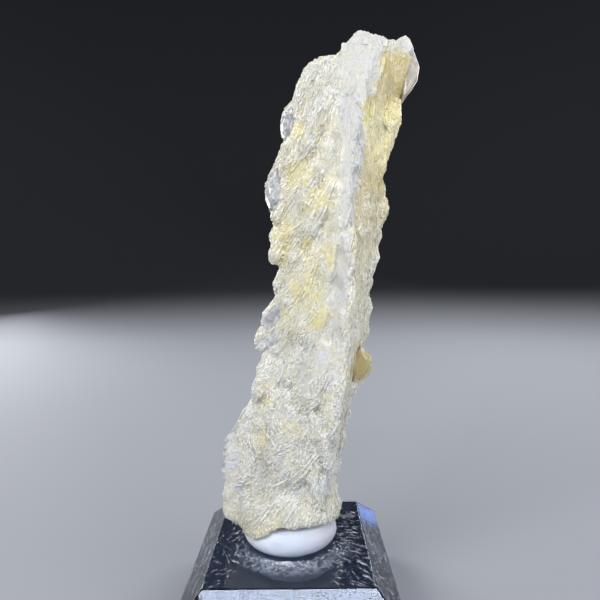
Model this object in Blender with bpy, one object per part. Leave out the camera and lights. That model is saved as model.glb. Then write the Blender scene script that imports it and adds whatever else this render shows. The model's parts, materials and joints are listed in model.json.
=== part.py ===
"""A bladed quartz crystal, held upright by a bead of white putty on a bevelled clear acrylic block.

Metres, +Z up. The origin is the centre of the block's underside. The broad front of the crystal
looks along -Y, and its top leans to +X.
"""

import math
import random

import bmesh
import bpy
from mathutils import Matrix, Vector

MM = 0.001
GAP = 0.3 * MM  # clearance kept wherever two pieces touch
SHORTEST_EDGE = 0.06 * MM

# The acrylic block: a square slab with its four top edges cut back at 45 degrees.
BLOCK_SIDE = 50.8 * MM
BLOCK_HEIGHT = 19.05 * MM
BLOCK_BEVEL = 6.2 * MM

# The putty: a pressed lump, lower at its left end, where less of the crystal bears on it.
PUTTY_WIDTH = 24.0 * MM
PUTTY_DEPTH = 20.6 * MM
PUTTY_HEIGHT = 5.4 * MM
PUTTY_CENTRE_X = -0.2 * MM
PUTTY_SLOPE = 0.08  # how much the top rises, per length to the right
PUTTY_SIDES = 28
PUTTY_SQUARENESS = 2.15  # 2 gives an ellipse seen from above, more a rounder rectangle
PUTTY_PROFILE = [  # height and girth, as shares of the full height and width
    (0.0, 0.93), (0.08, 0.98), (0.30, 1.0), (0.52, 0.99), (0.74, 0.95), (0.90, 0.86), (1.0, 0.72),
]

# The core of the crystal, by height above the block's top face, all in millimetres: where its
# thin left edge, its front ridge, its right edge and its back crest are, seen from the front,
# and how far the ridge stands forward and the crest stands back.
CORE_STATIONS = [
    # height, left, ridge, right, crest, forward, backward
    (2.6, -9.0, 2.5, 8.8, 1.5, 4.4, 3.8),
    (7.0, -15.6, 5.4, 11.0, 3.0, 5.8, 5.0),
    (12.0, -16.0, 7.6, 11.6, 3.5, 6.4, 5.6),
    (22.0, -16.2, 9.8, 11.8, 2.0, 6.2, 5.8),
    (33.0, -10.4, 11.6, 14.2, 4.0, 6.2, 5.6),
    (43.0, -6.8, 13.0, 17.0, 7.0, 6.4, 5.4),
    (54.0, -5.2, 14.2, 19.4, 9.0, 6.6, 5.2),
    (66.0, -2.2, 14.8, 20.8, 10.0, 6.6, 5.2),
    (78.0, -2.6, 15.4, 22.6, 11.0, 6.4, 5.0),
    (89.0, -3.8, 15.4, 24.4, 12.0, 6.2, 5.0),
    (99.0, 0.0, 16.2, 24.2, 13.0, 6.0, 4.8),
    (109.0, 2.4, 17.4, 27.6, 15.0, 5.6, 4.4),
    (117.0, 4.6, 20.4, 29.6, 18.0, 4.8, 3.8),
    (122.6, 10.4, 22.4, 29.0, 20.0, 3.4, 2.6),
    (126.0, 17.2, 22.8, 26.4, 22.0, 2.2, 1.6),
]
LEFT_EDGE_Y = 0.6 * MM
RIGHT_EDGE_Y = 1.6 * MM
CORE_BULGE = 0.9 * MM  # how far the four faces swell between their corners

# Each quartz blade is a flattened six-sided prism with a pointed end.
POINT_LENGTH = 0.8  # length of the point, as a share of the blade's width
POINT_CHISEL = 0.12  # length of the edge at the very tip, as a share of the width
ROOT_LENGTH = 0.25  # length of the buried tapered root, as a share of the blade's length
ROOT_TAPER = 0.55

# Rows of parallel blades that cover the core. A side runs from one corner of the section (share
# 0) to another (share 1). The lean is the blades' angle from the vertical at each end of the side.
# side, columns, rows, lean at 0, lean at 1, length, width, thickness, rise (mm and degrees)
BLADE_ROWS = [
    ("front", 4, 10, 9.0, 31.0, 16.0, 4.4, 1.8, 0.5),
    ("right", 2, 10, 10.0, 18.0, 10.0, 3.2, 1.5, 0.4),
    ("back", 4, 8, 10.0, 30.0, 18.0, 5.6, 2.2, 0.6),
    ("back_right", 2, 8, 10.0, 18.0, 11.0, 4.0, 1.8, 0.5),
]
ROWS_FROM = 8.0 * MM
ROWS_TO = {"front": 119.0 * MM, "back": 119.0 * MM, "right": 110.0 * MM, "back_right": 110.0 * MM}
TURNING_HEIGHT = 103.0 * MM  # the broad sides' blades above it look up, all others down
UPWARD_LEAN = 14.0  # degrees
ROW_MARGIN = 0.5 * MM  # the rows' points stay this far inside the edges of the core

# Blades that make the outline: point (across, height above the block), the way it points, as an
# angle from straight down towards -X, then length, width, thickness and depth of the point.
EDGE_BLADES = [
    # left edge, top to bottom: points that look down and out
    (-0.8, 103.3, 20, 9, 4.0, 2.2, 0.4),
    (-0.4, 97.8, 30, 12, 3.6, 2.2, -0.8),
    (-4.5, 84.2, 24, 25, 8.0, 2.6, 0.6),
    (-3.6, 80.6, 22, 14, 3.2, 1.8, -0.6),
    (-4.2, 75.2, 24, 15, 4.0, 2.4, 1.8),
    (-4.4, 70.4, 24, 14, 4.2, 2.4, 0.2),
    (-3.6, 63.4, 26, 14, 3.8, 2.2, 1.2),
    (-7.4, 55.4, 42, 13, 4.2, 2.0, 0.4),
    (-9.5, 49.9, 45, 15, 5.0, 2.2, 1.0),
    (-7.4, 46.1, 42, 10, 2.6, 1.6, 0.2),
    (-8.4, 40.2, 30, 16, 5.0, 2.6, 0.8),
    (-9.4, 35.8, 24, 13, 4.2, 2.4, -0.6),
    (-13.0, 28.2, 35, 18, 5.0, 2.8, 1.2),
    (-18.0, 15.0, 32, 26, 9.8, 3.0, 0.6),
    (-15.8, 11.0, 20, 14, 4.4, 2.6, 1.6),
    (-17.4, 6.3, 24, 17, 6.0, 3.2, 0.6),
    (-14.6, 3.4, 24, 12, 4.4, 2.6, -1.0),
    (-10.8, 2.4, 16, 14, 6.0, 3.4, -1.6),
    # right edge, top to bottom: points that look up and out
    (29.0, 110.4, 204, 14, 4.4, 2.8, 1.6),
    (27.2, 104.4, 204, 13, 3.6, 2.4, 2.2),
    (25.4, 98.2, 206, 13, 3.4, 2.2, 1.0),
    (25.2, 92.6, 202, 12, 3.2, 2.2, 2.2),
    (26.0, 88.2, 206, 15, 4.2, 2.6, 1.4),
    (24.4, 81.0, 204, 13, 3.2, 2.2, 2.4),
    (23.2, 75.6, 202, 13, 3.2, 2.2, 1.0),
    (21.9, 69.2, 204, 12, 3.0, 2.2, 2.0),
    (21.5, 62.8, 200, 13, 3.0, 2.2, 1.2),
    (20.9, 56.4, 204, 12, 3.0, 2.2, 2.0),
    (22.0, 48.2, 214, 13, 5.0, 3.0, 2.2),
    (17.2, 41.4, 204, 12, 3.0, 2.2, 0.8),
    (15.6, 35.2, 200, 13, 3.0, 2.2, 1.6),
    (14.4, 28.8, 200, 13, 2.8, 2.2, 1.0),
    (13.0, 22.0, 198, 12, 2.8, 2.2, 1.6),
    (12.5, 11.6, 192, 8, 3.2, 2.4, 1.2),
    # crown, left to right: points that look up
    (4.4, 115.6, 192, 10, 3.2, 2.2, 0.2),
    (5.0, 118.6, 194, 12, 3.0, 2.4, 0.8),
    (7.4, 122.2, 198, 13, 3.8, 2.4, -0.4),
    (10.2, 123.7, 198, 14, 4.4, 2.6, 0.6),
    (13.4, 124.4, 196, 14, 4.8, 2.6, -0.6),
    (16.0, 126.8, 196, 14, 4.0, 2.4, 0.8),
    (19.0, 129.5, 193, 16, 5.4, 3.0, -0.4),
    (21.6, 128.8, 192, 14, 3.4, 2.4, 0.8),
    (24.6, 128.5, 193, 14, 4.2, 2.4, -0.6),
    (27.4, 127.2, 196, 13, 3.4, 2.2, 0.6),
]

# The broad crystal at the top right has a blunt point that looks up and outward.
CORNER_POINT = (30.4, 127.9)
CORNER_HEADING = 207.0  # degrees, on the same scale as the edge blades
CORNER_LENGTH = 17.0 * MM
CORNER_WIDTH = 15.4 * MM
CORNER_THICKNESS = 4.4 * MM
CORNER_POINT_LENGTH = 0.36
CORNER_DEPTH = 1.2 * MM

SEED = 7
JITTER = 0.35  # random shift of a blade, as a share of its row's spacing

BLOCK_COLOUR = (0.93, 0.96, 0.98, 1.0)
PUTTY_COLOUR = (0.91, 0.91, 0.90, 1.0)
QUARTZ_COLOUR = (0.86, 0.84, 0.74, 1.0)


def clear_scene():
    for obj in list(bpy.data.objects):
        bpy.data.objects.remove(obj)


def new_collection(name):
    collection = bpy.data.collections.new(name)
    bpy.context.scene.collection.children.link(collection)
    return collection


def material(name, colour, roughness, transmission=0.0, ior=1.5):
    made = bpy.data.materials.new(name)
    made.use_nodes = True
    shader = made.node_tree.nodes["Principled BSDF"]
    shader.inputs["Base Color"].default_value = colour
    shader.inputs["Roughness"].default_value = roughness
    shader.inputs["Transmission Weight"].default_value = transmission
    shader.inputs["IOR"].default_value = ior
    return made


def add_object(name, bm, collection, finish=None):
    mesh = bpy.data.meshes.new(name)
    bm.to_mesh(mesh)
    bm.free()
    obj = bpy.data.objects.new(name, mesh)
    collection.objects.link(obj)
    if finish is not None:
        mesh.materials.append(finish)
    return obj


def mark_helper(obj):
    obj.hide_render = True
    obj.display_type = "WIRE"


def add_boolean(obj, operation, cutter=None, cutters=None):
    modifier = obj.modifiers.new(operation.title(), "BOOLEAN")
    modifier.operation = operation
    modifier.solver = "EXACT"
    if cutters is None:
        modifier.object = cutter
    else:
        modifier.operand_type = "COLLECTION"
        modifier.collection = cutters


# ---- acrylic block ----------------------------------------------------------------------------


def make_block(parts):
    bm = bmesh.new()
    bmesh.ops.create_cube(bm, size=1.0)
    bmesh.ops.scale(bm, vec=(BLOCK_SIDE, BLOCK_SIDE, BLOCK_HEIGHT), verts=bm.verts)
    bmesh.ops.translate(bm, vec=(0, 0, BLOCK_HEIGHT / 2), verts=bm.verts)
    top_edges = [e for e in bm.edges if all(v.co.z > BLOCK_HEIGHT / 2 for v in e.verts)]
    bmesh.ops.bevel(bm, geom=top_edges, offset=BLOCK_BEVEL, segments=1, affect="EDGES")
    finish = material("acrylic", BLOCK_COLOUR, 0.03, transmission=1.0, ior=1.49)
    return add_object("acrylic_block", bm, parts, finish)


# ---- quartz crystal ---------------------------------------------------------------------------


def core_section(height):
    """The corners of the core at a height above the block: left edge, ridge, right edge, crest."""
    rows = CORE_STATIONS
    low = max(i for i, row in enumerate(rows[:-1]) if i == 0 or row[0] * MM <= height)
    start, end = rows[low], rows[low + 1]
    share = (height / MM - start[0]) / (end[0] - start[0])
    share = min(1.0, max(0.0, share))
    values = [(a + (b - a) * share) * MM for a, b in zip(start, end)]
    _, left, ridge, right, crest, forward, backward = values
    z = BLOCK_HEIGHT + height
    return {
        "left": Vector((left, LEFT_EDGE_Y, z)),
        "ridge": Vector((ridge, -forward, z)),
        "right": Vector((right, RIGHT_EDGE_Y, z)),
        "crest": Vector((crest, backward, z)),
    }


# The two corners between which each side of the core runs.
SIDES = {
    "front": ("ridge", "left"),
    "right": ("ridge", "right"),
    "back": ("crest", "left"),
    "back_right": ("crest", "right"),
}


def side_point(side, height, share):
    """A point on one side of the core, and the way out of the core there."""
    corners = core_section(height)
    start, end = (corners[name] for name in SIDES[side])
    along = end - start
    outward = Vector((along.y, -along.x, 0)).normalized()
    if outward.y * (start.y + end.y) < 0:
        outward.negate()
    swell = CORE_BULGE * math.sin(math.pi * share) * min(1.0, along.length / (12 * MM))
    return start + along * share + outward * swell, outward


def make_core(collection):
    """The core is a loft through its stations, with flat facets."""
    ring_plan = [("front", s) for s in (1.0, 0.75, 0.5, 0.25, 0.0)]
    ring_plan += [("right", 0.5), ("right", 1.0), ("back_right", 0.5)]
    ring_plan += [("back", s) for s in (0.0, 0.25, 0.5, 0.75)]
    bm = bmesh.new()
    rings = []
    for station in CORE_STATIONS:
        points = [side_point(side, station[0] * MM, share)[0] for side, share in ring_plan]
        rings.append([bm.verts.new(point) for point in points])
    for lower, upper in zip(rings, rings[1:]):
        for i in range(len(ring_plan)):
            j = (i + 1) % len(ring_plan)
            bm.faces.new((lower[i], lower[j], upper[j], upper[i]))
    bm.faces.new(rings[0])
    bm.faces.new(rings[-1])
    bmesh.ops.recalc_face_normals(bm, faces=bm.faces)
    bmesh.ops.triangulate(bm, faces=bm.faces)
    return add_object("quartz_crystal", bm, collection, material("quartz", QUARTZ_COLOUR, 0.25))


def blade_shape(length, width, thickness, point_length=POINT_LENGTH):
    """A flattened six-sided crystal with its tip at the origin and its body along -Z."""
    half_width = width / 2
    half_thickness = thickness / 2 / math.sin(math.radians(60))
    rings = [
        (-width * point_length, 1.0),
        (-length * (1 - ROOT_LENGTH), 1.0),
        (-length, ROOT_TAPER),
    ]
    bm = bmesh.new()
    for z, size in rings:
        for corner in range(6):
            angle = math.radians(60 * corner)
            x = half_width * size * math.cos(angle)
            y = half_thickness * size * math.sin(angle)
            bm.verts.new((x, y, z))
    for side in (-1, 1):
        bm.verts.new((side * width * POINT_CHISEL / 2, 0, 0))
    bmesh.ops.convex_hull(bm, input=bm.verts)
    bmesh.ops.recalc_face_normals(bm, faces=bm.faces)
    return bm


def add_blade(name, tip, pointing, flat_side, shape, growth):
    """Adds a crystal with its point at tip. pointing runs from root to tip."""
    axis = pointing.normalized()
    face = (flat_side - axis * flat_side.dot(axis)).normalized()
    across = face.cross(axis)
    blade = add_object(name, shape, growth)
    blade.matrix_world = Matrix.Translation(tip) @ Matrix((across, face, axis)).transposed().to_4x4()
    mark_helper(blade)


def grow_rows(growth, rng):
    """Covers the four sides of the core with leaning rows of blades, like barbs of a feather."""
    for side, columns, rows, lean_start, lean_end, *sizes in BLADE_ROWS:
        length, width, thickness, rise = (size * MM for size in sizes)
        top = ROWS_TO[side]
        pitch = (top - ROWS_FROM) / rows
        for column in range(columns):
            for row in range(rows):
                share = (column + 0.5 + JITTER * rng.uniform(-1, 1)) / columns
                height = ROWS_FROM + pitch * (row + 0.5 * (column % 2) + JITTER * rng.uniform(-1, 1))
                height = min(top, max(ROWS_FROM, height))
                point, outward = side_point(side, height, share)
                corners = core_section(height)
                start, end = (corners[name] for name in SIDES[side])
                across = (end - start).normalized()
                lean = math.radians(lean_start + (lean_end - lean_start) * share + rng.uniform(-4, 4))
                pointing = Vector((0, 0, -1)) * math.cos(lean) + across * math.sin(lean)
                if height > TURNING_HEIGHT and side in ("front", "back"):
                    lean = math.radians(UPWARD_LEAN)
                    pointing = Vector((0, 0, 1)) * math.cos(lean) - across * math.sin(lean)
                size = rng.uniform(0.75, 1.25)
                pointing = pointing * length * size + outward * rise * rng.uniform(1.2, 2.0)
                tip = point + outward * rise * rng.uniform(0.35, 1.0)
                edges = core_section(tip.z - BLOCK_HEIGHT)
                tip.x = min(edges["right"].x - ROW_MARGIN, max(edges["left"].x + ROW_MARGIN, tip.x))
                flat_side = outward + Vector((rng.uniform(-0.25, 0.25), 0, 0))
                shape = blade_shape(length * size, width * size, thickness * size)
                add_blade(f"{side}_{column}_{row}", tip, pointing, flat_side, shape, growth)


def heading(degrees):
    """A direction in the plane of the crystal's front: 0 is down, 90 is -X, 180 is up."""
    angle = math.radians(degrees)
    return Vector((-math.sin(angle), 0, -math.cos(angle)))


def grow_edges(growth, rng):
    """Adds the blades that give the crystal its ragged outline."""
    for number, (x, height, degrees, length, width, thickness, depth) in enumerate(EDGE_BLADES):
        tip = Vector((x * MM, depth * MM, BLOCK_HEIGHT + height * MM))
        flat_side = Vector((rng.uniform(-0.15, 0.15), -1, rng.uniform(-0.1, 0.1)))
        shape = blade_shape(length * MM, width * MM, thickness * MM)
        add_blade(f"edge_{number}", tip, heading(degrees), flat_side, shape, growth)
    x, height = CORNER_POINT
    tip = Vector((x * MM, CORNER_DEPTH, BLOCK_HEIGHT + height * MM))
    shape = blade_shape(CORNER_LENGTH, CORNER_WIDTH, CORNER_THICKNESS, CORNER_POINT_LENGTH)
    flat_side = Vector((0.45, -1, 0))
    add_blade("edge_corner", tip, heading(CORNER_HEADING), flat_side, shape, growth)


def islands(bm):
    """The vertices of a mesh, in groups that hang together."""
    waiting = set(bm.verts)
    found = []
    for first in bm.verts:
        if first not in waiting:
            continue
        waiting.discard(first)
        group = [first]
        for vert in group:
            neighbours = [e.other_vert(vert) for e in vert.link_edges]
            fresh = [other for other in neighbours if other in waiting]
            waiting.difference_update(fresh)
            group.extend(dict.fromkeys(fresh))
        found.append(group)
    return found


def apply_modifiers(obj):
    bpy.context.view_layer.update()
    graph = bpy.context.evaluated_depsgraph_get()
    mesh = bpy.data.meshes.new_from_object(obj.evaluated_get(graph))
    obj.modifiers.clear()
    obj.data = mesh


def collapse_short_edges(bm):
    """Draws the ends of each very short edge together, where that keeps the skin closed."""
    short = [edge for edge in bm.edges if edge.calc_length() < SHORTEST_EDGE]
    for edge in short:
        if not edge.is_valid or len(edge.link_faces) != 2:
            continue
        first, second = edge.verts
        around_first = {e.other_vert(first) for e in first.link_edges}
        around_second = {e.other_vert(second) for e in second.link_edges}
        if len(around_first & around_second) == 2 and len(around_first | around_second) > 5:
            middle = (first.co + second.co) / 2
            bmesh.ops.pointmerge(bm, verts=[first, second], merge_co=middle)


def keep_outer_skin(obj):
    """Drops the sealed gaps that overlapping blades leave inside, and the shortest edges."""
    bm = bmesh.new()
    bm.from_mesh(obj.data)
    groups = sorted(islands(bm), key=len)
    bmesh.ops.delete(bm, geom=[vert for group in groups[:-1] for vert in group], context="VERTS")
    bmesh.ops.triangulate(bm, faces=bm.faces)
    collapse_short_edges(bm)
    bm.to_mesh(obj.data)
    bm.free()


def make_crystal(parts, growth):
    rng = random.Random(SEED)
    crystal = make_core(parts)
    grow_rows(growth, rng)
    grow_edges(growth, rng)
    add_boolean(crystal, "UNION", cutters=growth)
    apply_modifiers(crystal)
    keep_outer_skin(crystal)
    return crystal


# ---- putty ------------------------------------------------------------------------------------


def make_foot_cutter(crystal, helpers):
    """The hull of the crystal's lower end, a gap larger all round, which presses the putty's socket."""
    bpy.context.view_layer.update()
    graph = bpy.context.evaluated_depsgraph_get()
    mesh = crystal.evaluated_get(graph).to_mesh()
    reach = BLOCK_HEIGHT + PUTTY_HEIGHT + 2 * MM
    points = [v.co.copy() for v in mesh.vertices if v.co.z < reach]
    bm = bmesh.new()
    for point in points:
        for corner in range(8):
            shift = Vector((GAP if corner & bit else -GAP for bit in (1, 2, 4)))
            bm.verts.new(point + shift)
    hull = bmesh.ops.convex_hull(bm, input=bm.verts)
    inside = [v for v in hull["geom_interior"] + hull["geom_unused"] if isinstance(v, bmesh.types.BMVert)]
    bmesh.ops.delete(bm, geom=list(set(inside)), context="VERTS")
    bmesh.ops.recalc_face_normals(bm, faces=bm.faces)
    cutter = add_object("crystal_foot", bm, helpers)
    mark_helper(cutter)
    return cutter


def make_putty(parts, helpers, crystal):
    bm = bmesh.new()
    rings = []
    for height_share, girth in PUTTY_PROFILE:
        ring = []
        for i in range(PUTTY_SIDES):
            angle = 2 * math.pi * i / PUTTY_SIDES
            reach = 1 / PUTTY_SQUARENESS
            x, y = math.cos(angle), math.sin(angle)
            x = math.copysign(abs(x) ** (2 * reach), x) * PUTTY_WIDTH / 2 * girth
            y = math.copysign(abs(y) ** (2 * reach), y) * PUTTY_DEPTH / 2 * girth
            z = height_share * (PUTTY_HEIGHT + PUTTY_SLOPE * x)
            ring.append(bm.verts.new((PUTTY_CENTRE_X + x, y, BLOCK_HEIGHT + GAP + z)))
        rings.append(ring)
    for lower, upper in zip(rings, rings[1:]):
        for i in range(PUTTY_SIDES):
            j = (i + 1) % PUTTY_SIDES
            bm.faces.new((lower[i], lower[j], upper[j], upper[i]))
    bm.faces.new(rings[0])
    bm.faces.new(rings[-1])
    bmesh.ops.recalc_face_normals(bm, faces=bm.faces)
    putty = add_object("putty", bm, parts, material("putty", PUTTY_COLOUR, 0.55))
    add_boolean(putty, "DIFFERENCE", cutter=make_foot_cutter(crystal, helpers))
    return putty


def main():
    clear_scene()
    parts = new_collection("bladed_quartz_crystal")
    growth = new_collection("crystal_growth")
    helpers = new_collection("helpers")
    make_block(parts)
    crystal = make_crystal(parts, growth)
    make_putty(parts, helpers, crystal)


main()
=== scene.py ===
"""A bladed quartz crystal, held upright by white putty on a bevelled block of acrylic."""

import itertools
import json
import math
import random

import bmesh
import bpy
from mathutils import Matrix, Vector, noise
from mathutils.bvhtree import BVHTree

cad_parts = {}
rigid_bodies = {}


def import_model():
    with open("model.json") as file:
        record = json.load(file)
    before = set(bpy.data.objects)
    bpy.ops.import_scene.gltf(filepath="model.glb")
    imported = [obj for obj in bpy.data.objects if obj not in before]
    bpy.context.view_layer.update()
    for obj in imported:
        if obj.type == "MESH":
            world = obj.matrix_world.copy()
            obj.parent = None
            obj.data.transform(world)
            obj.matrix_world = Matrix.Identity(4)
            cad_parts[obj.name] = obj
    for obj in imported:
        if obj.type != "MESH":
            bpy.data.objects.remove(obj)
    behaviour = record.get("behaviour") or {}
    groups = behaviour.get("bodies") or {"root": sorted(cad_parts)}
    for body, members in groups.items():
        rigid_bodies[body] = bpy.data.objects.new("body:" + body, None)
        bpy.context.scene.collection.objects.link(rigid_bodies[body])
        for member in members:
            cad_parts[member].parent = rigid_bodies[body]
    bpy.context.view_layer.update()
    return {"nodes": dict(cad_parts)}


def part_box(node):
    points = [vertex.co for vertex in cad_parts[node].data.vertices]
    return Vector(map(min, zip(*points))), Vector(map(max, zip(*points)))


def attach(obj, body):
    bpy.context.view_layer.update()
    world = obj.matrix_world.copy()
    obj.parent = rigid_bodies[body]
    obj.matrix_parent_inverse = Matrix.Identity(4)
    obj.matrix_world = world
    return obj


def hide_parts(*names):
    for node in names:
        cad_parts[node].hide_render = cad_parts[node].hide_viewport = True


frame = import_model()
MM = 0.001


# ---- Camera ------------------------------------------------------------------------------------
# A wide lens close to the front of the specimen, level with the middle of the crystal. It looks
# slightly down on the block and is turned and tilted by less than a degree.

CAMERA_PLACE = Vector((4.16, -114.9, 86.37)) * MM
CAMERA_LENS = 27.06  # mm, on a 36 mm sensor
CAMERA_DOWN, CAMERA_TURN, CAMERA_ROLL = (math.radians(a) for a in (2.55, -0.50, -0.84))

camera = bpy.data.objects.new("camera", bpy.data.cameras.new("camera"))
bpy.context.scene.collection.objects.link(camera)
bpy.context.scene.camera = camera
camera.data.sensor_width = 36
camera.data.lens = CAMERA_LENS
camera.data.clip_start = 1 * MM
aim = Matrix.Rotation(-CAMERA_TURN, 4, "Z") @ Matrix.Rotation(math.radians(90) - CAMERA_DOWN, 4, "X")
camera.matrix_world = Matrix.Translation(CAMERA_PLACE) @ aim @ Matrix.Rotation(CAMERA_ROLL, 4, "Z")


# ---- Acrylic block -----------------------------------------------------------------------------
# A square slab of cast acrylic with its four top edges milled back at 45 degrees. Its top and its
# sides are polished, and the slopes keep dull tool marks. Its arrises are barely broken, so they
# show as thin bright lines.

block_low, block_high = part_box("acrylic_block")
putty_low, putty_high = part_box("putty")
TOP = block_high.z  # the block's top face, which carries everything else
HAIR = 1e-6  # m, less than any real step between two heights
block_corners = [v.co for v in frame["nodes"]["acrylic_block"].data.vertices]
TOP_REACH = max(corner.x for corner in block_corners if corner.z > TOP - HAIR)  # half the flat top
BLOCK_CUT = block_high.x - TOP_REACH
ARRIS = 0.22 * MM
ACRYLIC_IOR = 1.49
ACRYLIC_TINT = (0.36, 0.455, 0.62, 1.0)  # what is left of light inside it, a smoky blue grey
ACRYLIC_DENSITY = 54.0
POLISHED = (0.93, 0.96, 1.0, 1.0)
MILLED = (0.72, 0.82, 1.0, 1.0)
# The colour of the dull patches on the block: old putty residue in front of the lump, which also stands as a
# painted reflection of the lump in the polished top, and dull tool marks on the slopes.
FILM_WEAR_AND_REFLECTION = (0.62, 0.68, 0.82, 1.0)
RING_MARGIN = 0.8  # mm, how far the oval of residue and painted reflection reaches past the lump's own


class Wire:
    """A socket of a shader node. Arithmetic on it adds Math nodes to its tree."""

    def __init__(self, tree, socket=None):
        self.tree, self.socket = tree, socket

    def node(self, kind, settings=None, sockets=None, output=0):
        """Adds a node: its settings come first, then the values or wires of its sockets."""
        made = self.tree.nodes.new(kind)
        for name, value in (settings or {}).items():
            setattr(made, name, value)
        for name, value in (sockets or {}).items():
            if isinstance(value, Wire):
                self.tree.links.new(value.socket, made.inputs[name])
            else:
                made.inputs[name].default_value = value
        return Wire(self.tree, made.outputs[output] if made.outputs else None)

    def out(self, name):
        """Another output of the node that this one comes from."""
        return Wire(self.tree, self.socket.node.outputs[name])

    def math(self, operation, *operands):
        return self.node("ShaderNodeMath", {"operation": operation}, dict(enumerate(operands)))

    def __add__(self, other):
        return self.math("ADD", self, other)

    def __sub__(self, other):
        return self.math("SUBTRACT", self, other)

    def __rsub__(self, other):
        return self.math("SUBTRACT", other, self)

    def __mul__(self, other):
        return self.math("MULTIPLY", self, other)

    __radd__ = __add__
    __rmul__ = __mul__

    def lower(self, other):
        return self.math("MINIMUM", self, other)

    def higher(self, other):
        return self.math("MAXIMUM", self, other)

    def step(self, start, end):
        """0 up to start, 1 from end on, and a smooth way between them."""
        sockets = {"Value": self, "From Min": start, "From Max": end}
        return self.node("ShaderNodeMapRange", {"interpolation_type": "SMOOTHSTEP"}, sockets)

    def scaled(self, x, y, z):
        """A vector times one factor for each axis."""
        return self.node("ShaderNodeVectorMath", {"operation": "MULTIPLY"}, {0: self, 1: (x, y, z)})

    def noise(self, scale, detail=3.0, distortion=0.0):
        sockets = {"Vector": self, "Scale": scale, "Detail": detail, "Distortion": distortion}
        return self.node("ShaderNodeTexNoise", None, sockets)

    def vector(self, operation, other, output="Vector"):
        return self.node("ShaderNodeVectorMath", {"operation": operation}, {0: self, 1: other}, output)

    def away_from(self, place, reach):
        """How far a place is from another, as a share of the reach along each axis."""
        off = self.vector("SUBTRACT", place).vector("MULTIPLY", reach)
        return off.vector("LENGTH", (0.0, 0.0, 0.0), "Value")

    def facets(self):
        """Small flat faces, each tilted its own way, as heights."""
        cells = self.node("ShaderNodeTexVoronoi", None, {"Vector": self, "Scale": 1.0})
        tilt = cells.out("Color").vector("SUBTRACT", (0.5, 0.5, 0.5))
        return tilt.vector("DOT_PRODUCT", self.vector("SUBTRACT", cells.out("Position")), "Value")

    def seams(self):
        """How far the nearest seam between such faces is."""
        sockets = {"Vector": self, "Scale": 1.0}
        return self.node("ShaderNodeTexVoronoi", {"feature": "DISTANCE_TO_EDGE"}, sockets)

    def bump(self, strength, distance):
        """Normals from these heights, which are 1 for one distance."""
        sockets = {"Strength": strength, "Distance": distance, "Height": self}
        return self.node("ShaderNodeBump", None, sockets)

    def surface(self, sockets):
        return self.node("ShaderNodeBsdfPrincipled", None, sockets)

    def mix(self, first, second):
        """A blend of two colours, with this value as the share of the second."""
        sockets = {"Factor": self, 6: first, 7: second}
        return self.node("ShaderNodeMix", {"data_type": "RGBA"}, sockets, output=2)


def new_finish(name):
    """A new material, and a wire that carries its object coordinates in millimetres."""
    finish = bpy.data.materials.new(name)
    finish.use_nodes = True
    finish.node_tree.nodes.clear()
    start = Wire(finish.node_tree)
    place = start.node("ShaderNodeTexCoord", output="Object")
    return finish, place.scaled(1000, 1000, 1000)


def close_finish(shader, volume=None):
    """Ends a material with its surface and, for a see-through one, what its inside does to light."""
    sockets = {"Surface": shader}
    if volume is not None:
        sockets["Volume"] = volume
    shader.node("ShaderNodeOutputMaterial", None, sockets)


def new_piece(name, bm, finish=None):
    """A new object in the scene from a mesh in the making, which is freed."""
    mesh = bpy.data.meshes.new(name)
    bm.to_mesh(mesh)
    bm.free()
    piece = bpy.data.objects.new(name, mesh)
    bpy.context.scene.collection.objects.link(piece)
    if finish is not None:
        mesh.materials.append(finish)
    return piece


def acrylic_finish(name, roughness, coarse, tone, dull_share=0.0, wear=0.0):
    """Acrylic with fine scratches; dull_share is how much residue of old putty, together with a painted
    reflection of the lump, lies round the lump, wear the dull tool marks.
    """
    finish, mm = new_finish(name)
    scratches = mm.scaled(0.5, 6.0, 3.0).noise(1.2, 4.0, 1.5)
    crossing = mm.scaled(5.0, 0.7, 3.0).noise(1.0, 4.0, 1.2)
    lines = scratches.step(0.60, 0.74) + crossing.step(0.62, 0.76)
    haze = mm.noise(0.12, 4.0).step(0.40, 0.70)
    shader = mm.surface(
        {
            "Base Color": tone,
            "Roughness": roughness + 2.2 * roughness * haze,
            "IOR": ACRYLIC_IOR,
            "Specular Tint": (0.80, 0.87, 1.0, 1.0),
            "Transmission Weight": 1.0,
            "Normal": lines.bump(coarse, 0.02 * MM),
        }
    )
    inside = {"Color": ACRYLIC_TINT, "Density": ACRYLIC_DENSITY}
    depth = mm.node("ShaderNodeVolumeAbsorption", None, inside)

    # The residue and the painted reflection of the lump lie in front of it, on the top face alone, and fade
    # out to both sides.
    centre, half = (putty_low + putty_high) / 2 / MM, (putty_high - putty_low) / 2 / MM
    reach = (1 / (half.x + RING_MARGIN), 1 / (half.y + RING_MARGIN), 0.0)
    off = mm.away_from((centre.x, centre.y, 0.0), reach)
    ring = (off + 0.3 * (mm.noise(0.4, 4.0) - 0.5)).step(0.86, 0.98) * (1 - off.step(1.16, 1.46))
    place = mm.node("ShaderNodeSeparateXYZ", None, {"Vector": mm})
    ring = ring * place.out("X").step(-17.0, -7.0) * (1 - 0.7 * place.out("X").step(5.0, 13.0))
    on_top = place.out("Z").step(TOP / MM - 0.3, TOP / MM - 0.1)
    ring = ring * (1 - place.out("Y").step(-6.0, 1.0)) * on_top
    dull_share = dull_share * ring * mm.noise(0.9, 6.0, 0.8).step(0.34, 0.64)

    streaks = mm.scaled(2.2, 0.35, 2.2).noise(0.8, 5.0, 1.6).step(0.50, 0.66)
    dull_share = dull_share + wear * streaks * (0.3 + 0.7 * haze)
    dull = mm.node("ShaderNodeBsdfDiffuse", None, {"Color": FILM_WEAR_AND_REFLECTION})
    close_finish(mm.node("ShaderNodeMixShader", None, {0: dull_share, 1: shader, 2: dull}), depth)
    return finish


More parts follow.
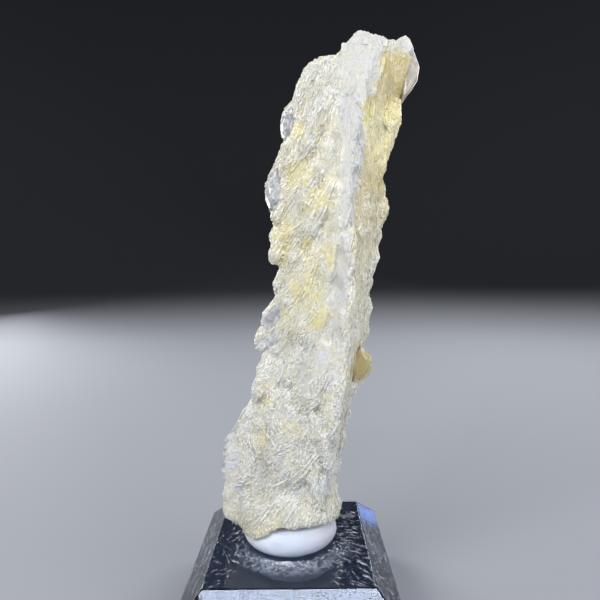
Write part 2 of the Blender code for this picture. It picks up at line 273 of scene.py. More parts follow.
def make_block():
    """The slab, with polished top and sides and a second finish on its slopes."""
    bm = bmesh.new()
    bmesh.ops.create_cube(bm, size=1.0)
    size = block_high - block_low
    bmesh.ops.scale(bm, vec=size, verts=bm.verts)
    bmesh.ops.translate(bm, vec=(block_low + block_high) / 2, verts=bm.verts)
    top_edges = [e for e in bm.edges if all(v.co.z > TOP - HAIR for v in e.verts)]
    bmesh.ops.bevel(bm, geom=top_edges, offset=BLOCK_CUT, segments=1, affect="EDGES")
    for face in bm.faces:
        face.material_index = int(0.1 < face.normal.z < 0.9)
    bmesh.ops.bevel(bm, geom=bm.edges[:], offset=ARRIS, segments=3, profile=0.5, affect="EDGES")
    polished = acrylic_finish("polished_acrylic", 0.02, 0.12, POLISHED, dull_share=0.42)
    piece = new_piece("acrylic_block_polished", bm, polished)
    piece.data.materials.append(acrylic_finish("milled_acrylic", 0.025, 0.14, MILLED, wear=0.7))
    return piece


block = make_block()
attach(block, "root")
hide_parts("acrylic_block")


# ---- Putty -------------------------------------------------------------------------------------
# White mineral tack: a soft lump rolled between the fingers, flattened on the block and pressed
# round the crystal's foot, so its rim rolls against the stone and its sides keep shallow dents.

PUTTY_SIDES = 96
PUTTY_RINGS = 40
PUTTY_DENT = 0.5 * MM
PUTTY_TILT = 0.45  # mm, how much lower the middle of the rim lies than its right end


def putty_finish():
    finish, mm = new_finish("white_putty")
    cloud = mm.noise(0.15, 3.0)
    smear = mm.scaled(0.3, 0.3, 2.0).noise(0.9, 4.0, 0.6)
    grain = mm.noise(6.0, 2.0)
    height = 0.7 * smear + 0.3 * grain
    across = mm.node("ShaderNodeSeparateXYZ", None, {"Vector": mm})
    # Painted light and shade: the whole lump is tinted blue for cool light, its left side is painted lighter
    # as if lit, and its right side darker as if in shade.
    colour = cloud.step(0.35, 0.7).mix((0.62, 0.68, 0.81, 1.0), (0.66, 0.72, 0.84, 1.0))
    colour = (1 - across.step(-11.0, 0.0)).mix(colour, (0.82, 0.88, 0.98, 1.0))
    colour = (0.8 * across.step(0.0, 11.0)).mix(colour, (0.56, 0.56, 0.62, 1.0))
    shader = mm.surface(
        {
            "Base Color": colour,
            "Roughness": 0.42 + 0.12 * smear,
            "Subsurface Weight": 0.25,
            "Subsurface Radius": (1.0, 0.9, 0.8),
            "Subsurface Scale": 1.5 * MM,
            "Specular IOR Level": 0.45,
            "Normal": height.bump(0.25, 0.12 * MM),
        }
    )
    close_finish(shader)
    return finish


def join_rings(bm, lower, upper):
    """A band of faces between two rings of corners."""
    for i in range(len(lower)):
        j = (i + 1) % len(lower)
        bm.faces.new((lower[i], lower[j], upper[j], upper[i]))


def make_putty():
    """A rounded loft between the block and the rim, in the space that the CAD lump holds."""
    centre = (putty_low + putty_high) / 2
    half = (putty_high - putty_low) / 2
    foot = TOP + 0.02 * MM
    bm = bmesh.new()
    rings = []
    for ring_number in range(PUTTY_RINGS):
        share = ring_number / (PUTTY_RINGS - 1)
        swell = math.sin(math.pi * (0.17 + 0.62 * share)) ** 0.32
        ring = []
        for i in range(PUTTY_SIDES):
            angle = 2 * math.pi * i / PUTTY_SIDES
            way = Vector((math.cos(angle), math.sin(angle), 0))
            top = putty_high.z - foot - (1 - way.x) * PUTTY_TILT * MM
            x, y = centre.x + way.x * half.x * swell, centre.y + way.y * half.y * swell
            place = Vector((x, y, foot))
            place.z += share * top
            dent = noise.noise(place * 180 + Vector((3, 1, 7))) + 0.5 * noise.noise(place * 420)
            ring.append(bm.verts.new(place - way * max(0.0, dent) * PUTTY_DENT))
        rings.append(ring)
    for lower, upper in zip(rings, rings[1:]):
        join_rings(bm, lower, upper)
    bm.faces.new(rings[0])
    bm.faces.new(rings[-1])
    bmesh.ops.recalc_face_normals(bm, faces=bm.faces)
    putty = new_piece("putty_lump", bm, putty_finish())
    putty.data.shade_smooth()
    putty.data.set_sharp_from_angle(angle=math.radians(50))
    return putty


putty = make_putty()
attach(putty, "root")
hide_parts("putty")


# ---- Dust and marks on the block ---------------------------------------------------------------
# Crumbs of dried putty and quartz powder left in an arc in front of the lump, loose flecks to its
# right, and short burred scratches, all stuck to or raised from the acrylic.

DUST_SEED = 5
ARC_CRUMBS = 900
LOOSE_CRUMBS = 320
IN_THE_ARC = 0.88  # the share of the crumbs near the lump that lie in its front, the others all round
AT_LEFT = 0.25  # the share of the loose flecks that lie to the left
SCRATCHES = [  # x and y of the middle, reach in x and y, how many, shortest and longest, way in degrees
    (15, 4, 4, 10, 80, 0.8, 3.6, -24), (13.5, -13, 5.5, 5, 46, 0.8, 3.4, -34),
    (-15.5, -3, 3, 7, 22, 0.6, 2.2, -55), (22.5, -12, 2, 9, 20, 0.6, 2.4, -65),
    (0, -21.5, 17, 1.2, 18, 0.6, 2.0, 8), (-22, -4, 1.5, 14, 16, 0.6, 2.4, 80),
    (-14.5, 2, 2.5, 5, 26, 0.7, 2.4, 30), (11, -8, 2.5, 3, 18, 0.6, 2.0, -8),
    (-17, -14, 3, 5, 20, 0.5, 1.8, 40),
]


def on_block(x, y):
    """The point of the block's top or slopes above a place."""
    return Vector((x, y, TOP - max(0.0, abs(x) - TOP_REACH, abs(y) - TOP_REACH)))


def add_crumb(bm, place, size, rng):
    """A chip with a few sides, a little sunk."""
    sides = rng.randint(5, 7)
    turn = rng.uniform(0, 2 * math.pi)
    lower, upper = [], []
    for i in range(sides):
        angle = turn + 2 * math.pi * i / sides
        way = Vector((math.cos(angle), math.sin(angle), 0)) * size * rng.uniform(0.35, 0.6)
        lower.append(bm.verts.new(place + way - Vector((0, 0, 0.02 * MM))))
        upper.append(bm.verts.new(place + way * 0.6 + Vector((0, 0, size * rng.uniform(0.15, 0.4)))))
    bm.faces.new(upper)
    bm.faces.new(lower[::-1])
    join_rings(bm, lower, upper)


def add_scratch(bm, start, end, width):
    """A burr that tapers to both ends."""
    across = (end - start).cross(Vector((0, 0, 1))).normalized() * width / 2
    middle = (start + end) / 2
    rise = Vector((0, 0, 0.035 * MM))
    ring = [bm.verts.new(p) for p in (start, middle + across, end, middle - across)]
    top, bottom = bm.verts.new(middle + rise), bm.verts.new(middle - rise)
    for i in range(4):
        bm.faces.new((ring[i], ring[(i + 1) % 4], top))
        bm.faces.new((ring[(i + 1) % 4], ring[i], bottom))


def dust_finish():
    finish, mm = new_finish("pale_dust")
    colour = mm.noise(0.8, 3.0).step(0.40, 0.62).mix((0.30, 0.35, 0.46, 1.0), (0.88, 0.90, 0.95, 1.0))
    close_finish(mm.surface({"Base Color": colour, "Roughness": 0.6}))
    return finish


def make_dust():
    """The arc of crumbs, then the loose flecks, then the scratches, all in one mesh."""
    rng = random.Random(DUST_SEED)
    centre, half = (putty_low + putty_high) / 2, (putty_high - putty_low) / 2
    bm = bmesh.new()
    for _ in range(ARC_CRUMBS):
        degrees = rng.gauss(-96, 13) if rng.random() < IN_THE_ARC else rng.uniform(-150, -20)
        angle = math.radians(degrees)
        out = 0.96 + abs(rng.gauss(0, 0.13)) + 0.06 * noise.noise(Vector((angle * 3, 0, 0)))
        x, y = centre.x + half.x * out * math.cos(angle), centre.y + half.y * out * math.sin(angle)
        place = on_block(x, y)
        if place.z == TOP:
            add_crumb(bm, place, rng.uniform(0.08, 0.26) * MM, rng)
    for _ in range(LOOSE_CRUMBS):
        x, y = rng.uniform(10.5, 24) * MM, rng.gauss(-3, 9) * MM
        if rng.random() < AT_LEFT:
            x = -rng.uniform(12, 23) * MM
        if abs(y) < 22 * MM:
            add_crumb(bm, on_block(x, y), rng.uniform(0.10, 0.34) * MM, rng)
    for x, y, reach_x, reach_y, many, shortest, longest, way in SCRATCHES:
        for _ in range(many):
            off_x, off_y = rng.uniform(-1, 1) * reach_x, rng.uniform(-1, 1) * reach_y
            start = Vector((x + off_x, y + off_y, 0)) * MM
            angle = math.radians(way + rng.gauss(0, 14))
            along = Vector((math.cos(angle), math.sin(angle), 0))
            end = start + along * rng.uniform(shortest, longest) * MM
            if max(abs(c) for c in (*start, *end)) < 24 * MM:
                width = rng.uniform(0.07, 0.20) * MM
                add_scratch(bm, on_block(start.x, start.y), on_block(end.x, end.y), width)
    bmesh.ops.recalc_face_normals(bm, faces=bm.faces)
    return new_piece("block_dust", bm, dust_finish())


dust = make_dust()
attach(dust, "root")


# ---- Quartz crystal ----------------------------------------------------------------------------
# One specimen of milky quartz: a flat leaning stem overgrown with thousands of thin crystals that
# lie nearly parallel to it, in patches, like the barbs of a feather. Thin points are glassy.

SEED = 11
STEM_GRAIN = 0.45 * MM
STEM_CLOSING = 0.45 * MM  # notches narrower than twice this are healed over
STEM_FACES = 10000  # triangles of the thinned stem
RIDGE = [(0, 2.5), (33, 11.6), (66, 14.8), (99, 16.2), (117, 20.4), (130, 23.0)]  # height, x in mm
RIDGE_BAND = 6.5  # mm, the smooth strip on the left of the ridge
# height and x of the white band's left border, in mm
BAND_EDGE = [(0, 4), (40, 7), (52, 8), (62, 10.4), (74, 11.7), (81, 13.0), (130, 14.0)]
OCHRE_EDGE = [  # height and x of the ochre face's left border, in mm
    (0, 10.5), (50, 13.6), (77, 15.6), (91, 17.5), (97.4, 19.0), (101.7, 19.7), (105, 18.2),
    (108.4, 17.6), (110.2, 19.2), (112.2, 23.0), (114.2, 21.4), (116.7, 23.6), (122.5, 23.8), (130, 27),
]
CROWN = [  # x and height of the crystal's top line, in mm
    (4.2, 118.0), (4.7, 119.8), (5.9, 120.9), (7, 121.6), (9, 122.8), (13.5, 123.2), (14.3, 124.8),
    (15.9, 126.4), (17.2, 128.1), (18.9, 129.1), (21.8, 128), (24, 127.9), (25.7, 126.4), (27.7, 126.7),
    (30.3, 127.5), (31.6, 125.8),
]
CROWN_MIDDLE = [(4.5, -0.5), (22, -0.4), (26, 0.4), (30, 1.4), (32, 1.9)]  # x of the crown, y of its middle
BAND = 4 * MM  # height over which the outline's reach is taken
UNREST = (55 * MM, 3.0 * MM, 38)  # below this height growth swings, over this distance, by so many degrees
SWIRLS = [  # x and height of the middle, reach in mm, lean in degrees
    (-3.7, 24, 3.5, 78), (-10, 24.5, 3.5, -34), (-1, 16.5, 4, 46), (-10, 13.5, 4.5, 84), (-6.5, 10.5, 3, 76),
    (2.5, 12, 4, 32), (8, 21, 5, -6), (5, 28, 4, 26), (-3.6, 29.4, 2.6, -44), (2.7, 35.5, 4, 42),
    (-6.2, 35, 4, 8), (7.7, 45, 4, 34), (10, 36, 4, 8),
]
FOOT = [  # the edge of the stone's foot over the putty: x, y and height in mm
    (-17.8, -0.6, 7.6), (-17, -2, 6.3), (-14.8, -3, 6), (-12.9, -4, 5.7), (-11.5, -6.2, 4.7),
    (-10.3, -7.7, 4.5), (-8.4, -9, 4.8), (-6.5, -9.4, 5.4), (-5, -9.2, 6.5), (-3.4, -8.9, 7.2),
    (-1.9, -8.7, 7.4), (0.5, -8.8, 6.9), (3.7, -8.6, 7.3), (6.9, -7.7, 7.2), (8.9, -6.4, 7.1),
    (11, -4.4, 6.8), (12.2, -2, 7),
]
# back and up from that edge, in mm
FOOT_PROFILE = ((0, 0), (0.1, 1.2), (1.5, 4), (3, 6.3), (5, 7.6), (3.5, -1.5))
NOTCH_FILL = [  # a lump that fills a notch in the right edge: x, y and height in mm
    (29.3, -0.6, 112.4), (29, 0, 110), (29.2, 0, 107.6), (27.4, -0.4, 105), (24, -0.8, 106), (24, -0.8, 112),
    (29.3, 2.6, 112.4), (29.2, 2.6, 107.6), (27.4, 2.6, 105), (24, 2.6, 106), (24, 2.6, 112),
]
CROWN_DEPTH = (-1.3, 1.3)  # mm, from front to back, of the stone below the crown
CROWN_SHELF = (0.5, 5)  # mm, how far below the crown's line that stone starts and ends
COARSENESS = [(0, 0.80), (42, 0.86), (72, 1.02), (130, 1.15)]  # height, size of the crystals against the mean
FACES_IN_ALL = 194000  # triangles of the finished crystal
TRIES = 60000  # places tried for the crystals of each habit
HABITS = {  # most crystals, spacing, length, width and height above the skin in mm, wander in degrees
    "blade": (420, 2.8, (3.0, 7.0), (1.0, 1.9), (0.12, 0.28), 5),
    "lath": (9500, 0.76, (1.2, 3.0), (0.52, 0.98), (0.10, 0.26), 8),
    "grain": (2600, 1.0, (0.6, 1.2), (0.34, 0.66), (0.14, 0.26), 40),
}
KINDS = [  # sides, thickness, length of the tip and its bluntness, how far the crest lies to one side
    (6, 0.85, 0.20, 0.45, 0.0), (6, 1.05, 0.16, 0.35, 0.14), (6, 0.9, 0.22, 0.4, -0.16),
    (4, 0.6, 0.18, 0.4, 0.1), (4, 0.7, 0.22, 0.5, -0.08),
]
RIBS = [  # long thin crystals on the front: x and height of the middle, length, width in mm, lean in degrees
    (1.6, 19.7, 5.5, 0.7, 42), (2.4, 18.6, 5, 0.6, 44), (-2.6, 17, 4.5, 0.7, 62), (5.2, 35.4, 4.6, 0.7, 45),
    (6.2, 34, 4, 0.6, 45), (0.2, 10.6, 5, 0.7, 38), (-3.5, 28.6, 3, 0.7, -45), (-4.6, 27.5, 3, 0.6, -50),
    (-9.6, 25, 3, 0.6, -38), (8, 83, 4.5, 0.9, 26), (9.5, 84, 4.5, 0.8, 24), (7.4, 93.6, 4.5, 0.8, 36),
    (6.6, 91.5, 4, 0.8, 36), (11.1, 88.9, 4.5, 0.9, 24), (9.9, 86, 3, 0.7, 28), (12.3, 77.6, 8, 1.2, 14),
    (11.4, 72, 6, 1.1, 8), (16.4, 74, 7, 0.9, 14), (15.5, 69.9, 4, 0.9, 20), (15.1, 82.6, 5, 1, 18),
    (19.1, 89.2, 4.5, 1.1, -34), (20.9, 93.2, 4, 1, -30), (19.6, 97, 6, 1.2, -22), (20.9, 84.6, 4, 1.1, -30),
    (17.8, 66, 9, 1.2, 3), (18.9, 62, 10, 1.2, 2), (19.8, 56, 9, 1.1, 2), (17, 52, 10, 1.2, 3),
    (-6.5, 9.5, 5, 0.6, 38), (-4.2, 12.2, 5, 0.6, 40), (-1.5, 14.5, 5, 0.7, 42), (4.6, 22.6, 5.5, 0.7, 40),
    (7.2, 26, 5, 0.6, 40), (9.6, 29, 5, 0.6, 38), (11.8, 32.2, 5, 0.6, 36), (3.6, 20, 5, 0.6, 44),
    (6, 23.2, 5, 0.6, 42), (8.4, 26.6, 4.5, 0.6, 40), (-2.8, 11.2, 4.5, 0.6, 38), (-0.6, 13, 4.5, 0.6, 40),
    (18.4, 47, 8, 1.1, 4), (14.6, 42, 9, 1, 8), (12.7, 32, 9, 1, 9), (13.2, 24, 8, 1, 6),
    (12, 17, 8, 1.1, 2), (22.4, 113.2, 4, 1.6, 14), (23.3, 116.2, 4, 1.5, 10), (21.4, 111.6, 3.4, 1.4, 22),
    (24.2, 119, 4, 1.3, 12), (18.6, 107.4, 3.6, 1.5, -28), (19.4, 104.6, 3.4, 1.4, -20),
    (20.4, 108.4, 3.6, 1.3, -26), (20.8, 102, 4, 1.3, -18), (26.6, 109.2, 3.4, 1.4, -42),
    (27.4, 107, 3.2, 1.2, -30), (25.2, 111, 3.2, 1.2, -16), (24.6, 107.2, 3.4, 1.3, -50),
    (28, 111, 3, 1.3, -64), (25.8, 105.4, 3, 1.2, -24), (27.8, 108.8, 3, 1.1, -8),
]
RIB_PIECE = 2.2  # mm, a rib is set in pieces of about this length, which follow the skin
RIB_RISE = 0.34  # mm, how far a rib stands out
SIDE = 0.45  # skin whose normal points further right than this belongs to the right side
SIDE_LEANS = (80, (-3, 7), (-26, -14))  # height in mm, degrees below it and above it, on the right side
FRONT_LEAN = 12  # degrees, at the ridge
LEFT_LEAN = (98, 30, 15)  # height in mm, degrees more than that at the left edge, below it and above it
BARE = (50, 3.5, 0.08, 0.85)  # fewer laths, in patches: up to this height, their size, limit, share left out
SIDE_TOP, SIDE_STRETCH = 80, 1.6  # up to this height, in mm, crystals on the right side are longer
LOW_TOP, LOW_STRETCH = 48, 0.75  # up to this height the others are shorter
STRIP_START, STRIP_RISE = 44, 0.4  # from this height on they stand out less on the smooth strip
PEAK_START, PEAK_RISE = 112, 0.6  # and from this one at the right
WING_RISE, WING_SHARE = 0.4, 0.5  # they stand out less on the wing too, and this share is left out
WING = (-14.0 * MM, TOP + 31 * MM)  # left of this and below this height the stone is a clear thin wing
PROUD = 0.30 * MM  # how far a crystal's end may stand off the skin
CROWN_POINTS = 90  # tries, of which some find no stone below them
CLEAR = [  # larger crystals at the edges: tint, thickness, then x and height of the corners in mm
    (1, 2.2, [(27.9, 126.8), (29.2, 127.7), (30.6, 128.2), (31.7, 127.2), (32.7, 124.8), (30.6, 122),
              (28.4, 124)]),
    (2, 2.8, [(32.3, 125.8), (33, 124.4), (34.3, 120.7), (33.7, 117.4), (32, 114.8), (29.6, 111.6),
              (30, 115), (30.8, 119), (30.8, 123)]),
    (2, 1.5, [(-11.4, 33.0), (-17.1, 25.9), (-18.1, 18.3), (-17.9, 15.6), (-16.3, 14.3), (-14.6, 14.4),
              (-13.4, 25)]),
    (3, 2.4, [(-1.9, 96.1), (-4.5, 93.1), (-5.3, 90.1), (-5.3, 87.6), (-4.2, 84.9), (-2.3, 84.6),
              (-1, 90)]),
    (3, 2.4, [(1.9, 110.3), (-0.2, 108.9), (-1.2, 106.2), (-1.0, 103.4), (-0.2, 102.2), (1.0, 102.4),
              (2.4, 106)]),
    (2, 2.0, [(-2.6, 61.9), (-6.6, 57.7), (-6.9, 55.8), (-5.1, 54.4), (-1.7, 57.5)]),
    (2, 2.0, [(-3.6, 54.9), (-7.8, 51.1), (-8.8, 49.5), (-6.8, 48.7), (-2.3, 51.8)]),
    (0, 3.0, [(18.5, 50.2), (20.9, 47.8), (21.0, 45.5), (18.8, 42.0), (16.5, 40.9), (15.5, 46.6)]),
]
BEADS = [  # small clear crystals at the edges: x and height of the middle, half width, half height, in mm
    (-2.1, 84.1, 0.8, 1.2), (-2.5, 74.9, 0.8, 1.3), (-2.9, 72.8, 0.7, 1.0), (-1.4, 63.7, 0.7, 0.9),
    (-3.9, 48, 0.9, 0.8), (-1.9, 80.4, 0.6, 0.9), (3.4, 118.4, 0.6, 0.9),
]
# share of the thickness, share of the outline
CLEAR_STEPS = ((0, 1), (0.16, 0.975), (0.30, 0.91), (0.42, 0.78), (0.5, 0.56))
THICK = 1.8  # mm, where a clear crystal is thicker than this no small ones grow on it
TINTS = 6  # steps of milkiness, from 0 for greyish to 1 for white; 2 is clear and 3 clearest


def between(points, value):
    """The value at a place on a chain of straight pieces through the points."""
    for (start, low), (end, high) in zip(points, points[1:]):
        if value <= end or (end, high) == points[-1]:
            share = min(1.0, max(0.0, (value - start) / (end - start)))
            return low + (high - low) * share


def applied(piece):
    """Makes a piece's modifiers part of its mesh."""
    bpy.context.view_layer.update()
    graph = bpy.context.evaluated_depsgraph_get()
    mesh = bpy.data.meshes.new_from_object(piece.evaluated_get(graph))
    piece.modifiers.clear()
    piece.data = mesh
    return mesh


def tint_all(mesh, value):
    """Gives every face of a mesh one tint."""
    tint = mesh.attributes.new("tint", "FLOAT", "FACE")
    tint.data.foreach_set("value", [value] * len(mesh.polygons))


def make_stem():
    """The ground that small crystals grow on: the solid with its blades run together.

    The foot that spreads over the putty, the filled notch and the stone below the crown are added,
    and nothing of it stands higher than just below the crown's line.
    """
    bm = bmesh.new()
    bm.from_mesh(frame["nodes"]["quartz_crystal"].data)
    bmesh.ops.remove_doubles(bm, verts=bm.verts, dist=1e-8)
    hulls = [NOTCH_FILL]
    for pair in zip(FOOT, FOOT[1:]):
        corners = itertools.product(pair, FOOT_PROFILE)
        hulls.append([(x, y + back, height + up) for (x, y, height), (back, up) in corners])
    for pair in zip(CROWN, CROWN[1:]):
        corners = itertools.product(pair, CROWN_SHELF, CROWN_DEPTH)
        hulls.append([(x, between(CROWN_MIDDLE, x) + y, height - drop) for (x, height), drop, y in corners])
    for hull in hulls:
        added = [bm.verts.new((x * MM, y * MM, TOP + height * MM)) for x, y, height in hull]
        bmesh.ops.convex_hull(bm, input=added)
    for vert in bm.verts:
        crown = between(CROWN, vert.co.x / MM) - CROWN_SHELF[0]
        if vert.co.x / MM < CROWN[-1][0] and vert.co.z > TOP + crown * MM:
            vert.co.z = TOP + crown * MM
    bmesh.ops.recalc_face_normals(bm, faces=bm.faces)
    stem = new_piece("quartz_crystal_bladed", bm)
    for shift in (STEM_CLOSING, -STEM_CLOSING):
        moving = stem.modifiers.new("move", "DISPLACE")
        moving.strength = shift
        moving.mid_level = 0.0
        merging = stem.modifiers.new("merge", "REMESH")
        merging.mode = "VOXEL"
        merging.voxel_size = STEM_GRAIN
    softening = stem.modifiers.new("soften", "SMOOTH")
    softening.factor = 0.5
    softening.iterations = 2
    quads = len(applied(stem).polygons)
    thinning = stem.modifiers.new("thin", "DECIMATE")
    thinning.ratio = min(1.0, STEM_FACES / 2 / quads)
    tint_all(applied(stem), 0.5)
    return stem


def left_outline(bm):
    """How far left the crystal reaches at each height."""
    reach = {}
    for vert in bm.verts:
        band = round((vert.co.z - TOP) / BAND)
        reach[band] = min(reach.get(band, 1.0), vert.co.x)
    bands = sorted(reach)
    chain = []
    for band in bands:
        near = [reach[b] for b in (band - 1, band, band + 1) if b in reach]
        chain.append((band * BAND, sum(near) / len(near)))
    return chain


def way_at(lean):
    """Up, leaning to the right by so many degrees, in the plane of the broad front."""
    return Vector((math.sin(math.radians(lean)), 0, math.cos(math.radians(lean))))


def growth_way(place, normal, left_chain, wander, rng):
    """The way that a crystal at this place points, in the plane of the broad front."""
    height = place.z - TOP
    ridge = between(RIDGE, height / MM) * MM
    if normal.x > SIDE and place.x > ridge:
        change, lower, upper = SIDE_LEANS
        lean = rng.uniform(*(upper if height > change * MM else lower))
    else:
        change, lower, upper = LEFT_LEAN
        left = between(left_chain, height)
        share = min(1.0, max(0.0, (ridge - place.x) / (ridge - left)))
        lean = FRONT_LEAN + (lower if height < change * MM else upper) * share
        for x, swirl_height, reach, swirl_lean in SWIRLS:
            off = math.hypot(place.x / MM - x, height / MM - swirl_height) / reach
            lean += (swirl_lean - lean) * math.exp(-off * off)
    below, span, swing = UNREST
    unrest = max(0.0, 1 - height / below)
    lean += swing * unrest * noise.noise(place / span) + rng.gauss(0, wander)
    way = way_at(lean)
    return way if rng.random() < 0.5 else -way


def crystal_shapes():
    """Crystals of unit length and width with a low crest along them, each kind once in every tint."""
    shapes = []
    for sides, flat, tip, blunt, crest in KINDS:
        bm = bmesh.new()
        for along, girth in ((-0.5, blunt), (tip - 0.5, 1.0), (0.5 - tip, 1.0), (0.5, blunt)):
            for corner in range(sides):
                angle = 2 * math.pi * corner / sides + math.pi / 2
                x, y = math.cos(angle) * 0.5 * girth, math.sin(angle) * 0.5 * girth * flat
                x += crest * girth * (corner == 0)
                bm.verts.new((x, y, along + 0.06 * x))
        bmesh.ops.convex_hull(bm, input=bm.verts)
        bmesh.ops.recalc_face_normals(bm, faces=bm.faces)
        for step in range(TINTS):
            shape = bpy.data.meshes.new("crystal_shape")
            bm.to_mesh(shape)
            tint_all(shape, step / (TINTS - 1))
            shapes.append((shape, 0.5 * flat))
        bm.free()
    return shapes


def spread(skin, rng, spacing, most):
    """Places on the skin, each with its normal and coarseness, that keep a distance from each other."""
    faces = []
    for face in skin.faces:
        lowest = 1.5 if face.normal.z > -0.3 else 10
        if face.calc_center_median().z > TOP + lowest * MM:
            faces.append(face)
    weights = [f.calc_area() for f in faces]
    widest = spacing * max(size for _, size in COARSENESS)
    near_cells = list(itertools.product((-1, 0, 1), repeat=3))
    taken, places = {}, []
    for face in rng.choices(faces, weights, k=TRIES):
        a, b = sorted((rng.random(), rng.random()))
        corners = [v.co for v in face.verts]
        place = corners[0] * a + corners[1] * (b - a) + corners[2] * (1 - b)
        size = between(COARSENESS, (place.z - TOP) / MM)
        i, j, k = (math.floor(c / widest) for c in place)
        around = [o for x, y, z in near_cells for o in taken.get((i + x, j + y, k + z), ())]
        if any((place - other).length < spacing * size for other in around):
            continue
        taken.setdefault((i, j, k), []).append(place)
        places.append((place, face.normal.copy(), size))
        if len(places) == most:
            break
    return places


def set_crystal(growth, shape, middle, axis, facing, width, length):
    """Links one crystal: its middle, the way that it points, the way that its crest faces, its sizes."""
    across = facing.cross(axis).normalized()
    turn = Matrix((across, axis.cross(across), axis)).transposed().to_4x4()
    crystal = bpy.data.objects.new("crystal", shape)
    crystal.matrix_world = Matrix.Translation(middle) @ turn @ Matrix.Diagonal((width, width, length, 1))
    growth.objects.link(crystal)


def grow_clear(skin, growth):
    """The larger clear crystals and the beads: flat, with sloping sides, in line with the stone's edge."""
    beads = []
    for x, height, reach, rise in BEADS:
        turns = [math.radians(45 * i + 15) for i in range(8)]
        corners = [(x + reach * math.cos(turn), height + rise * math.sin(turn)) for turn in turns]
        beads.append((2, 2.2 * reach, corners))
    for clearness, thickness, corners in CLEAR + beads:
        outline = [Vector((x * MM, 0, TOP + height * MM)) for x, height in corners]
        middle = sum(outline, Vector()) / len(outline)
        near = [v.co.y for v in skin.verts if math.hypot(v.co.x - middle.x, v.co.z - middle.z) < 3 * MM]
        shift = Vector((0, (min(near) + max(near)) / 2, 0))
        bm = bmesh.new()
        for corner, (depth, reach) in itertools.product(outline, CLEAR_STEPS):
            for side in (-depth, depth):
                off = Vector((0, side * thickness * MM, 0))
                bm.verts.new(middle + (corner - middle) * reach + shift + off)
        bmesh.ops.convex_hull(bm, input=bm.verts)
        bmesh.ops.recalc_face_normals(bm, faces=bm.faces)
        shape = bpy.data.meshes.new("clear_crystal")
        bm.to_mesh(shape)
        bm.free()
        tint_all(shape, clearness)
        growth.objects.link(bpy.data.objects.new("clear_crystal", shape))


def clear_at(place):
    """How clear the stone is at a place on one of the thicker clear crystals, or None elsewhere."""
    for clearness, thickness, corners in CLEAR:
        sides = set()
        for (x, height), (next_x, next_height) in zip(corners, corners[1:] + corners[:1]):
            off_x, off_height = place.x / MM - x, (place.z - TOP) / MM - height
            sides.add((next_x - x) * off_height > (next_height - height) * off_x)
        if thickness > THICK and len(sides) == 1:
            return clearness
    return None


def off_skin(tree, point):
    """How far a point stands off the skin, or 0 below it."""
    near, normal, _, distance = tree.find_nearest(point)
    return distance if (point - near).dot(normal) > 0 else 0.0


def grow_all_over(skin, tree, shapes, growth, rng):
    """Sets small crystals into the skin, most of each one sunk, so that only its crest stands out."""
    chain = left_outline(skin)
    bare_top, patch, limit, left_out = BARE
    for habit, (most, spacing, lengths, widths, rises, wander) in HABITS.items():
        for place, normal, size in spread(skin, rng, spacing * MM, most):
            bare = habit == "lath" and place.z < TOP + bare_top * MM
            if bare and noise.noise(place / (patch * MM)) > limit and rng.random() < left_out:
                continue
            way = growth_way(place, normal, chain, wander, rng)
            axis = way - normal * way.dot(normal)
            if axis.length < 0.2 or clear_at(place) is not None:
                continue
            width = size * rng.uniform(*widths) * MM
            length = size * rng.uniform(*lengths) * MM
            if normal.x > SIDE and place.z < TOP + SIDE_TOP * MM:
                length *= SIDE_STRETCH
            elif place.z < TOP + LOW_TOP * MM:
                length *= LOW_STRETCH
            rise = rng.uniform(*rises) * MM
            from_ridge = place.x / MM - between(RIDGE, (place.z - TOP) / MM)
            if -RIDGE_BAND < from_ridge < 0 and normal.y < 0 and place.z > TOP + STRIP_START * MM:
                rise *= STRIP_RISE
            if normal.x > 0.3 and place.z > TOP + PEAK_START * MM:
                rise *= PEAK_RISE
            if place.x < WING[0] and place.z < WING[1]:
                rise *= WING_RISE
                if rng.random() < WING_SHARE:
                    continue
            axis = (axis.normalized() + normal * rng.uniform(-0.02, 0.05)).normalized()
            shape, half = rng.choice(shapes)
            middle = place - normal * (half * width - rise)
            top = normal * half * width * 0.6
            for _ in range(6):
                if max(off_skin(tree, middle + top + axis * end * length) for end in (-0.5, 0.5)) < PROUD:
                    break
                length *= 0.75
            facing = Vector([c + rng.uniform(-0.22, 0.22) for c in normal])
            set_crystal(growth, shape, middle, axis, facing, width, length)


def grow_ribs(tree, shapes, growth, rng):
    """The long thin crystals on the front, in short pieces."""
    for x, height, length, width, lean in RIBS:
        way = way_at(lean)
        parts = math.ceil(length / RIB_PIECE)
        for part in range(parts):
            along = ((part + 0.5) / parts - 0.5) * length * MM
            start = Vector((x * MM, -60 * MM, TOP + height * MM)) + way * along
            place, normal, _, _ = tree.ray_cast(start, Vector((0, 1, 0)))
            if place is None:
                continue
            axis = (way - normal * way.dot(normal)).normalized()
            shape, half = rng.choice(shapes)
            middle = place - normal * (half * width - RIB_RISE) * MM
            size = width * rng.uniform(0.8, 1.15) * MM
            reach = length / parts * 0.75 * MM
            if max(off_skin(tree, middle + axis * end) for end in (-reach, reach)) < PROUD:
                set_crystal(growth, shape, middle, axis, normal, size, 2 * reach)


